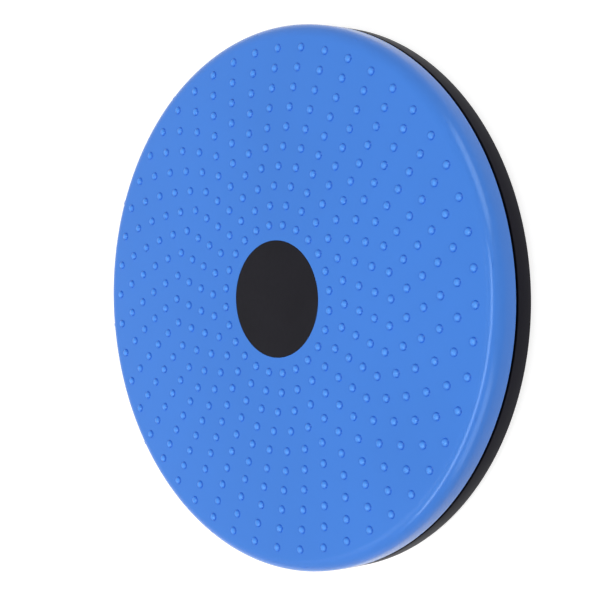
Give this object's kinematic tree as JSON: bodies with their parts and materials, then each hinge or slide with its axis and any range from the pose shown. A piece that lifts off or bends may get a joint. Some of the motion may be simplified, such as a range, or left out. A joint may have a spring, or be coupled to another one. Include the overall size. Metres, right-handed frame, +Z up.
{
  "type": "waist twisting disc",
  "caption": "Round exercise turntable: a nubbed blue tread that spins on a ball bearing over a black base with rubber feet.",
  "frame": {"origin": "centre of the disc, in the plane on which its feet stand", "axes": "+Z up along the pivot; +X through a nub of every ring and through foot_1"},
  "size_m": [0.281, 0.281, 0.0312],
  "materials": {
    "top_plastic": "glossy moulded blue",
    "cover_plastic": "matt black",
    "base_plastic": "satin charcoal",
    "foot_rubber": "soft matt",
    "race_steel": "zinc plated pressed steel",
    "screw_steel": "zinc plated",
    "ball_steel": "polished",
    "cage_nylon": "natural nylon",
    "bush_nylon": "natural nylon",
    "insert_nylon": "blue nylon"
  },
  "bodies": {
    "base": {"base_plate": "base_plastic", "foot_1": "foot_rubber", "foot_2": "foot_rubber", "foot_3": "foot_rubber", "foot_4": "foot_rubber", "foot_5": "foot_rubber", "foot_6": "foot_rubber", "lower_race": "race_steel", "lower_race_screws": "screw_steel", "pivot_bolt": "screw_steel", "pivot_washer": "screw_steel", "lock_nut": "screw_steel", "lock_nut_insert": "insert_nylon"},
    "cage": {"ball_cage": "cage_nylon", "bearing_balls": "ball_steel"},
    "top": {"top_plate": "top_plastic", "upper_race": "race_steel", "upper_race_screws": "screw_steel", "pivot_bush": "bush_nylon", "centre_cover": "cover_plastic"}
  },
  "joints": [
    {"name": "top_spin", "type": "hinge", "parent": "base", "child": "top", "pos_m": [0, 0, 0.0138], "axis": [0, 0, 1], "continuous": true},
    {"name": "cage_spin", "type": "hinge", "parent": "base", "child": "cage", "pos_m": [0, 0, 0.0175], "axis": [0, 0, 1], "continuous": true}
  ],
  "couplings": [
    {"joint": "cage_spin", "follows": "top_spin", "ratio": 0.5}
  ]
}
